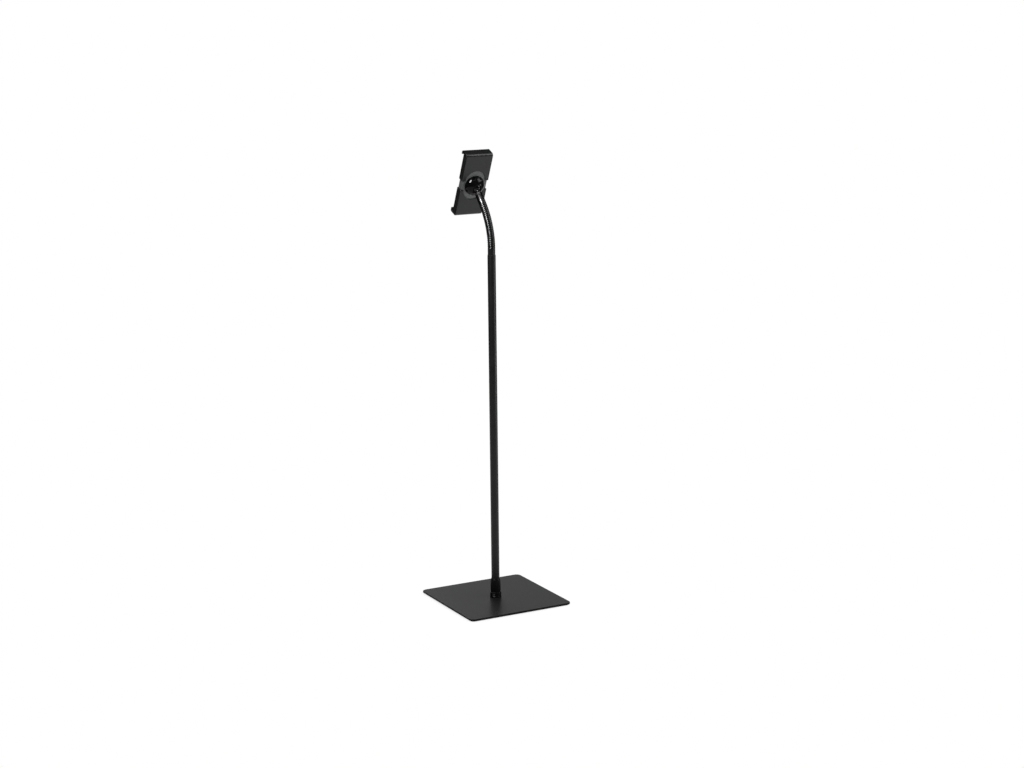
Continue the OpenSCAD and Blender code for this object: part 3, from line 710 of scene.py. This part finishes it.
class STAND_OT_neck(bpy.types.Operator):
    """Adds the gooseneck's winding, cut into one stretch around each joint, and the upper ferrule"""

    bl_idname = "stand.neck"
    bl_label = "Gooseneck"

    TURN_POINTS = 40
    LINE_POINTS = 2001
    # Powers of a rib's profile: 2 and 2 would make it an ellipse
    CROWN = 2.4
    FLANK = 1.8

    def execute(self, context):
        curve = self.centre_line(NECK_PLACES[0] - NECK_SEAM * UP, NECK_TOP + NECK_SEAM * STUD_AXIS)
        line, along = curve[:2]
        stops = along[np.linalg.norm(line[:, None] - NECK_PLACES, axis=2).argmin(0)]
        tuck = sizes().neck_tuck
        cuts = np.concatenate([[-tuck], (stops[1:] + stops[:-1]) / 2, [along[-1] + tuck]])
        for k, joint in enumerate(NECK_JOINTS):
            points, ends = self.stretch(curve, cuts[k], cuts[k + 1])
            piece = add_surface(f"winding_{k + 1}", points, "neck_black", sharp=70)
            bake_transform(piece)
            if k < len(NECK_JOINTS) - 1:
                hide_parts(joint["child"])
        self.ferrule()
        return {"FINISHED"}

    def centre_line(self, first, last):
        """Cubic curve from the lower ferrule, rising straight up, to the upper one, along the stud's axis.
        Each handle is a third of the span over the squared cosine of a quarter of the bend."""
        bend = math.acos(float(UP @ STUD_AXIS))
        handle = np.linalg.norm(last - first) / 3 / math.cos(bend / 4) ** 2
        t = np.linspace(0, 1, self.LINE_POINTS)[:, None]
        line = (1 - t) ** 3 * first + 3 * t * (1 - t) ** 2 * (first + handle * UP)
        line = line + 3 * t ** 2 * (1 - t) * (last - handle * STUD_AXIS) + t ** 3 * last
        along = np.concatenate([[0], np.cumsum(np.linalg.norm(np.diff(line, axis=0), axis=1))])
        return line, along, unit(np.gradient(line, axis=0))

    def stretch(self, curve, start, stop):
        """Tube around the centre line with a helical rib: radius = groove + depth * (1 - x^crown)^(1 / flank)
        for a distance x from the rib's middle, over half its width; the rib climbs one pitch a turn."""
        line, along, heading = curve
        pitch = sizes().rib_pitch
        depth = sizes().rib_depth
        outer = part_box("neck_link_1")[1].x
        rows = int(round((stop - start) / pitch * self.TURN_POINTS)) + 1
        s = np.linspace(start, stop, rows)
        angle = whole_turn(self.TURN_POINTS)
        inside = np.clip(s, 0, along[-1])
        tangent = unit(np.stack([np.interp(inside, along, heading[:, k]) for k in range(3)], 1))
        centre = np.stack([np.interp(inside, along, line[:, k]) for k in range(3)], 1)
        centre = centre + (s - inside)[:, None] * tangent
        over = np.cross(tangent, SIDE)
        x = saw(s[:, None] / pitch - angle / (2 * math.pi)) / sizes().rib_share
        radius = outer - depth + depth * np.clip(1 - x ** self.CROWN, 0, 1) ** (1 / self.FLANK)
        ring = circle(angle, SIDE, over[:, None])
        skin = centre[:, None] + radius[:, :, None] * ring
        lining = centre[[-1, 0], None] + sizes().neck_bore * ring[[-1, 0]]
        return np.concatenate([skin, lining]), (centre[0], centre[-1])

    def ferrule(self):
        """Outline of the upper ferrule: a smooth sleeve with two round ends around the stud's shank."""
        high = reach("neck_upper_ferrule", NECK_TOP, [STUD_AXIS])[1][0]
        bore, radius = radii("neck_upper_ferrule", NECK_TOP, STUD_AXIS, low=NECK_SEAM)
        edge = sizes().ferrule_edge
        outline = rounded([
            (bore, NECK_SEAM, SOFT), (radius, NECK_SEAM, edge), (radius, high, edge), (bore, high, SOFT),
        ])
        piece = add_turned("upper_ferrule", *outline.T, NECK_TOP, STUD_AXIS, "neck_black")
        stand_for(piece, "neck_top", "neck_upper_ferrule")


class STAND_OT_ball_joint(bpy.types.Operator):
    """Adds the ball stud with its lock nut and the ring nut"""

    bl_idname = "stand.ball_joint"
    bl_label = "Ball joint"

    STUD_COLUMNS = 32
    BALL_ROWS = 40
    # Angle of the lock nut's chamfer, and its height over a corner's overhang
    CONE = math.radians(30)
    CHAMFER = 0.9
    CHAMFER_ROWS = 8
    FOOT_ROWS, SIDE_ROWS, DOME_ROWS, SEAT_ROWS = 5, 24, 40, 12
    NUT_COLUMNS = 192
    HOLLOW_LEAN = math.radians(14)

    def execute(self, context):
        self.stud()
        self.lock_nut()
        self.ring_nut()
        carry("white_plastic", "ball_seat")
        return {"FINISHED"}

    def stud(self):
        """Ball on a shank: the shank's radius dips by the thread's depth times a triangle wave of
        height / pitch - angle / turn that fades out at the ball; the ball's rows are a circle's arc."""
        low = reach("ball_stud", BALL, [STUD_AXIS])[0][0]
        ball = radii("ball_stud", BALL, STUD_AXIS)[1]
        below_ball = -1.5 * ball
        shank = radii("ball_stud", BALL, STUD_AXIS, high=below_ball)[1]
        depth = sizes().thread_depth
        pitch = sizes().thread_pitch
        columns = self.STUD_COLUMNS
        start = np.arccos(-math.sqrt(1 - (shank / ball) ** 2))
        threaded = np.arange(low + depth, -ball, pitch / columns)
        arc = np.linspace(start, 0, self.BALL_ROWS)
        height = np.concatenate([[low, low], threaded, ball * np.cos(arc)])
        plain = np.concatenate([[0, shank - depth], np.full(len(threaded), shank), ball * np.sin(arc)])
        fade = np.concatenate([[0, 0], smooth_step((-ball - threaded) / pitch), 0 * arc])
        wave = saw(height[:, None] / pitch - np.arange(columns) / columns)
        radius = plain[:, None] - depth * wave * fade[:, None]
        stud = add_turned(
            "ball_and_stud", radius, height, BALL, STUD_AXIS, "dark_steel", columns,
            sharp=50, wrap_rows=False)
        stand_for(stud, "ball", "ball_stud")

    def lock_nut(self):
        """Hexagon whose radius is flat / cos(angle from the flat), cut by a cone at both faces."""
        (low,), (high,) = reach("stud_lock_nut", BALL, [STUD_AXIS])
        bore, corner = radii("stud_lock_nut", BALL, STUD_AXIS)
        half_side = math.pi / 6
        flat = corner * math.cos(half_side)
        off = (whole_turn(COLUMNS) + half_side) % (2 * half_side) - half_side
        hexagon = flat / np.cos(off)
        depth = np.linspace(0, (corner - flat) * self.CHAMFER, self.CHAMFER_ROWS)
        cone = flat - SOFT + depth / math.tan(self.CONE)
        rim = np.minimum(hexagon, cone[:, None])
        height = np.concatenate([[low], low + depth, high - depth[::-1], [high]])
        inner = np.full((1, COLUMNS), bore)
        radius = np.concatenate([inner, rim, rim[::-1], inner])
        nut = add_turned("lock_nut", radius, height, BALL, STUD_AXIS, "dark_steel", sharp=25)
        stand_for(nut, "ball", "stud_lock_nut")

    def ring_nut(self):
        """Outline of the ring nut: round foot, side and dome joined by a soft minimum, lip, round socket and
        bore; the hollows are taken out of its outer rows."""
        (bottom,), (top,) = reach("ring_nut", BALL, [REAR])
        throat, rim = radii("ring_nut", BALL, REAR)
        lip = radii("ring_nut", BALL, REAR, low=top - SOFT / 4)[1]
        bore = radii("ring_nut", BALL, REAR, high=bottom + SOFT)[0]
        ball = radii("ball_stud", BALL, STUD_AXIS)[1] + SOFT
        dome = sizes().dome_radius
        dome_z = top - math.sqrt(dome ** 2 - lip ** 2)
        shoulder = dome_z + math.sqrt(dome ** 2 - rim ** 2)
        edge = sizes().nut_edge
        seat_z = -1 * MM
        foot = np.linspace(0, QUARTER, self.FOOT_ROWS)[:-1]
        side = np.linspace(bottom + edge, shoulder, self.SIDE_ROWS)
        slope = np.linspace(math.asin(rim / dome), math.asin(lip / dome), self.DOME_ROWS)[1:-1]
        outer_z = np.concatenate([bottom + edge - edge * np.cos(foot), side, dome_z + dome * np.cos(slope)])
        domed = np.sqrt(np.clip(dome ** 2 - (outer_z - dome_z) ** 2, 0, None))
        outer = soft_minimum(rim, domed, sizes().shoulder_blend)
        outer[:len(foot)] -= edge - edge * np.sin(foot)
        seat = np.linspace(math.asin(throat / ball), math.acos(seat_z / ball), self.SEAT_ROWS)
        radius, height = np.concatenate([
            np.stack([outer, outer_z], 1), [(lip, top), (lip - 2 * SOFT, top - SOFT / 2)],
            ball * np.stack([np.sin(seat), np.cos(seat)], 1), [(bore, seat_z), (bore, bottom)],
        ]).T
        is_outer = np.arange(len(height)) < len(outer)
        scooped = self.scooped(radius[:, None], height[:, None] - bottom, rim)
        radius = np.where(is_outer[:, None], scooped, radius[:, None])
        nut = add_turned(
            "ring_nut_lobed", radius, height, BALL, REAR, "nut_plastic", self.NUT_COLUMNS, sharp=50)
        stand_for(nut, "nut", "ring_nut")

    def scooped(self, radius, height, rim):
        """Radius with finger hollows: a soft minimum of the plain radius and each hollow's near wall,
        c cos a - sqrt(h^2 - c^2 sin^2 a), where h is its radius and its axis c leans in towards the top."""
        count = sizes().hollow_count
        wide = sizes().hollow_radius
        turn = np.arange(self.NUT_COLUMNS) / self.NUT_COLUMNS * count
        off = (turn - np.floor(turn) - 0.5) * 2 * math.pi / count
        axis = rim + sizes().hollow_offset - height * math.tan(self.HOLLOW_LEAN)
        reached = wide ** 2 - (axis * np.sin(off)) ** 2
        wall = axis * np.cos(off) - np.sqrt(np.clip(reached, 0, None))
        wall = np.where(reached > 0, wall, axis * np.cos(off) + 2 * wide)
        return soft_minimum(wall, radius, sizes().hollow_blend)


class STAND_OT_clamp(bpy.types.Operator):
    """Adds the clamp's two sleeves, its body and cover, and finishes the linings"""

    bl_idname = "stand.clamp"
    bl_label = "Clamp"

    def execute(self, context):
        margin = 3 * SOFT
        body_high = reach("holder_body", BALL, CLAMP_AXES)[1]
        wide = body_high[0] + margin
        front = reach("holder_cover", BALL, CLAMP_AXES)[0][2] - margin
        for place in ("upper", "lower"):
            back = reach(f"{place}_jaw", BALL, CLAMP_AXES)[1][2] - sizes().sleeve_wall
            pad_low, pad_high = reach(f"{place}_jaw_pad", BALL, CLAMP_AXES)

            def outside(at):
                """Points on the sleeve's outer faces, away from the lining's pocket."""
                pocket = ((at > pad_low - SOFT) & (at < pad_high + SOFT)).all(1)
                return ((np.abs(at[:, 0]) > wide) | (at[:, 2] > back) | (at[:, 2] < front)) & ~pocket

            name, node = f"{place}_sleeve", f"{place}_jaw"
            sleeve = add_eased_copy(name, node, "jaw_plastic", sizes().sleeve_edge, outside)
            stand_for(sleeve, f"{place}_clamp", node)

        def long_edges(at):
            """Points on the body's four long outer edges."""
            return (np.abs(at[:, :2]) > body_high[:2] - SOFT / 2).all(1)

        for name, node in (("clamp_body", "holder_body"), ("clamp_cover", "holder_cover")):
            shell = add_eased_copy(name, node, "body_plastic", sizes().shell_edge, long_edges)
            stand_for(shell, "holder", node)
        carry("rubber_black", "upper_jaw_pad", "lower_jaw_pad")
        return {"FINISHED"}


class STAND_OT_mechanism(bpy.types.Operator):
    """Adds the two coil springs and finishes the pinion, its pin and the cover's screws"""

    bl_idname = "stand.mechanism"
    bl_label = "Mechanism"

    TURN_POINTS = 24
    WIRE_POINTS = 10

    def execute(self, context):
        for place, sign in (("upper", 1), ("lower", -1)):
            coil, ends = self.coil(f"{place}_spring", sign)
            spring = add_surface(f"{place}_coil", coil, "steel", sharp=60, wrap_rows=False)
            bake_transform(spring)
            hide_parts(f"{place}_spring")
        carry("steel", "gear_pin", "cover_screws")
        carry("white_plastic", "sync_gear")
        return {"FINISHED"}

    def coil(self, node, sign):
        """Wire of a spring: its centre runs r (cos a, sin a) around the axis, r opening from 0 over the first
        turn and closing over the last; across it lies a circle, which closes to a point at both ends."""
        low, high = reach(node, BALL, CLAMP_AXES)
        wire = sizes().spring_wire / 2
        turns = sizes().spring_turns
        span = high[1] - low[1]
        middle = (low + high) / 2
        wide = (high[0] - low[0]) / 2 - wire
        leg = 3 * wire
        tip = 0.01 * MM
        turn = np.linspace(0, turns, turns * self.TURN_POINTS + 1)
        opened = wide * smooth_step(turn) * smooth_step(turns - turn)
        angle = 2 * math.pi * turn
        climb = leg + (span - 2 * leg) * turn / turns
        local = np.stack([opened * np.cos(angle), climb, opened * np.sin(angle)], 1)
        tips = np.array([(0, 0, 0), (0, tip, 0), (0, span - tip, 0), (0, span, 0)])
        local = np.concatenate([tips[:2], local, tips[2:]])
        foot = np.array([middle[0], low[1] if sign > 0 else high[1], middle[2]])
        path = BALL + (foot + local * [sign, sign, 1]) @ CLAMP_AXES
        tangent = unit(np.gradient(path, axis=0))
        out = np.cross(tangent, RISE)
        straight = np.linalg.norm(out, axis=1, keepdims=True) < 1e-3
        out = unit(np.where(straight, ACROSS, out))
        radius = np.full(len(path), wire)
        radius[[0, -1]] = 0
        ring = circle(whole_turn(self.WIRE_POINTS), out[:, None], np.cross(tangent, out)[:, None])
        return path[:, None] + radius[:, None, None] * ring, (path[0], path[-1])


# Stage

class STAND_OT_studio(bpy.types.Operator):
    """Adds the pale floor, the dark walls, the white surroundings, the soft lamps and the camera"""

    bl_idname = "stand.studio"
    bl_label = "Studio"

    WHITE = (1, 1, 1)
    FLOOR_RINGS = 24
    FLOOR_START = 0.05
    FLOOR_GAP = 0.2 * MM
    # Share of the paper that shows at the stand, and the distances between which it fades to white
    PAPER_SHARE = 0.2
    PAPER_FADE = (0.16, 0.34)
    WALL_COLUMNS = 73
    WALL_FOOT = 0.01
    CEILING_HOLE = 0.001
    # The focal length is in pixels of a frame this wide
    FRAME_WIDTH = 1024

    def execute(self, context):
        studio = context.scene.stand_studio
        self.floor(studio)
        self.dark_walls(studio)
        self.surroundings(studio)
        sparkle = self.strip(
            "soft_box_left", azimuth=18, distance=2.0, span=(2.0, 4.0), width=0.8, radiance=100)
        sparkle.visible_diffuse = False
        self.strip("soft_box_right", azimuth=145, distance=2.2, span=(0.05, 1.0), width=0.6, radiance=8)
        self.strip("soft_box_high", azimuth=148, distance=2.2, span=(1.9, 3.8), width=1.8, radiance=7)
        self.strip("soft_box_front", azimuth=-97, distance=2.4, span=(1.4, 2.4), width=1.2, radiance=10)
        above, aim = Vector((0.3, 0.6, 2.9)), Vector((0, 0, 0.5))
        self.lamp("overhead", above, aim, size=(1.6, 1.6), radiance=1.5)
        self.camera(studio)
        context.scene.view_settings.view_transform = "Standard"
        return {"FINISHED"}

    def background_rays(self, wire):
        """1 for rays that show the background: from the camera, off a gloss or through glass."""
        rays = ("Is Camera Ray", "Is Glossy Ray", "Is Transmission Ray")
        seen, mirrored, through = (wire.node("LightPath", out=ray) for ray in rays)
        return (seen + mirrored + through).between(0, 1)

    def add_stage(self, name, points, wrap_columns, material):
        """Stage piece from a grid of points."""
        faces = grid_faces(*points.shape[:2], wrap_rows=False, wrap_columns=wrap_columns)
        mesh = bpy.data.meshes.new(name)
        mesh.from_pydata(points.reshape(-1, 3).tolist(), [], faces.tolist())
        made = add_object(name, mesh, material)
        return made

    def floor(self, studio):
        """Disc of rings: radius * (cos a, sin a), just below the mat. It shows white away from the stand."""
        ring = np.concatenate([[0], np.geomspace(self.FLOOR_START, studio.floor_radius, self.FLOOR_RINGS)])
        points = ring[:, None, None] * circle(whole_turn(COLUMNS)) - self.FLOOR_GAP * UP
        made = Finish("paper floor")
        wire = made.wire
        away = wire.node("VectorMath", {"operation": "LENGTH"}, {0: made.place}, out="Value")
        fibre = made.noise(4 * MM)
        paper = wire.node("BsdfDiffuse", sockets={"Color": shades(fibre, self.WHITE, 0.86, 0.9)})
        white = wire.node("Emission", sockets={"Color": (*self.WHITE, 1), "Strength": 1.0})
        whiteness = 1 - self.PAPER_SHARE + self.PAPER_SHARE * away.between(*self.PAPER_FADE)
        share = self.background_rays(wire) * whiteness
        shader = wire.node("MixShader", sockets={0: share, 1: paper, 2: white})
        self.add_stage("floor", points, True, made.shown(shader))

    def dark_walls(self, studio):
        """Dark cloth of the studio, seen in reflections only: a round wall, radius * (cos a, sin a), open
        behind the stand where the background shows, and a hood over it that closes to a ceiling."""
        made = Finish("dark cloth")
        weave = made.noise(20 * MM, detail=2)
        cloth = made.wire.node("BsdfDiffuse", sockets={"Color": shades(weave, self.WHITE, 0.03, 0.05)})
        material = made.shown(cloth)
        behind = studio.camera_turn - QUARTER
        out, lintel, top = studio.wall_radius, studio.opening_height, studio.wall_height
        start, stop = behind + studio.opening, behind + 2 * math.pi - studio.opening
        wall = (start, stop, [out, out], [self.WALL_FOOT, lintel])
        hood = (0, 2 * math.pi, [out, out, self.CEILING_HOLE], [lintel, top, top])
        for name, (start, stop, radius, height) in {"dark_wall": wall, "dark_hood": hood}.items():
            ring = circle(np.linspace(start, stop, self.WALL_COLUMNS))
            points = np.array(radius)[:, None, None] * ring + np.array(height)[:, None, None] * UP
            piece = self.add_stage(name, points, False, material)
            for rays in ("camera", "diffuse", "transmission", "shadow"):
                setattr(piece, f"visible_{rays}", False)

    def surroundings(self, studio):
        """White to the camera and to reflections, a plain even light for everything else."""
        world = bpy.data.worlds.new("studio")
        bpy.context.scene.world = world
        world.use_nodes = True
        world.node_tree.nodes.clear()
        wire = Wire(world.node_tree)
        even = wire.node("Background", sockets={"Color": (*self.WHITE, 1), "Strength": studio.ambient})
        white = wire.node("Background", sockets={"Color": (*self.WHITE, 1), "Strength": 1.0})
        shader = wire.node("MixShader", sockets={0: self.background_rays(wire), 1: even, 2: white})
        wire.node("OutputWorld", sockets={"Surface": shader})

    def strip(self, name, azimuth, distance, span, width, radiance):
        """Upright soft box at an angle around the stand, in degrees, between two heights."""
        turn = math.radians(azimuth)
        middle = sum(span) / 2
        place = Vector((distance * math.cos(turn), distance * math.sin(turn), middle))
        return self.lamp(name, place, Vector((0, 0, middle)), (width, span[1] - span[0]), radiance)

    def lamp(self, name, place, aim, size, radiance):
        """Soft box that faces a point; its power is pi * area * radiance."""
        light = bpy.data.lights.new(name, "AREA")
        light.shape = "RECTANGLE"
        light.size, light.size_y = size
        light.energy = math.pi * size[0] * size[1] * radiance
        lamp = bpy.data.objects.new(name, light)
        lamp.location = place
        lamp.rotation_euler = (aim - place).to_track_quat("-Z", "Y").to_euler()
        lamp.visible_camera = False
        bpy.context.scene.collection.objects.link(lamp)
        return lamp

    def camera(self, studio):
        """Camera at the photograph's place; the lens follows from the focal length in pixels."""
        data = bpy.data.cameras.new("camera")
        data.sensor_width = 36
        data.sensor_fit = "HORIZONTAL"
        data.lens = studio.focal_pixels * data.sensor_width / self.FRAME_WIDTH
        camera = bpy.data.objects.new("camera", data)
        turn = Matrix.Rotation(math.pi + studio.camera_turn, 4, "Z")
        pitch = Matrix.Rotation(QUARTER + studio.camera_pitch, 4, "X")
        roll = Matrix.Rotation(studio.camera_roll, 4, "Z")
        camera.matrix_world = Matrix.Translation(studio.camera_at) @ turn @ pitch @ roll
        bpy.context.scene.collection.objects.link(camera)
        bpy.context.scene.camera = camera


class STAND_PT_pieces(bpy.types.Panel):
    """Buttons for the stand's pieces, with its sizes, colours and studio"""

    bl_label = "Tablet floor stand"
    bl_idname = "STAND_PT_pieces"
    bl_space_type = "VIEW_3D"
    bl_region_type = "UI"
    bl_category = "Stand"

    def draw(self, context):
        for operator in OPERATORS:
            self.layout.operator(operator.bl_idname)
        for place, group in GROUPS.items():
            for name in group.__annotations__:
                self.layout.prop(getattr(context.scene, place), name)


OPERATORS = (
    STAND_OT_plate, STAND_OT_pole, STAND_OT_neck, STAND_OT_ball_joint, STAND_OT_clamp, STAND_OT_mechanism,
    STAND_OT_studio,
)
GROUPS = {"stand_sizes": StandSizes, "stand_colours": StandColours, "stand_studio": StandStudio}
CLASSES = (*GROUPS.values(), *OPERATORS, STAND_PT_pieces)


def register():
    for cls in CLASSES:
        bpy.utils.register_class(cls)
    for place, group in GROUPS.items():
        setattr(bpy.types.Scene, place, PointerProperty(type=group))


def unregister():
    for place in GROUPS:
        delattr(bpy.types.Scene, place)
    for cls in reversed(CLASSES):
        bpy.utils.unregister_class(cls)


def main():
    register()
    make_finishes()
    bpy.ops.stand.plate()
    bpy.ops.stand.pole()
    bpy.ops.stand.neck()
    bpy.ops.stand.ball_joint()
    bpy.ops.stand.clamp()
    bpy.ops.stand.mechanism()
    bpy.ops.stand.studio()


if __name__ == "__main__":
    main()
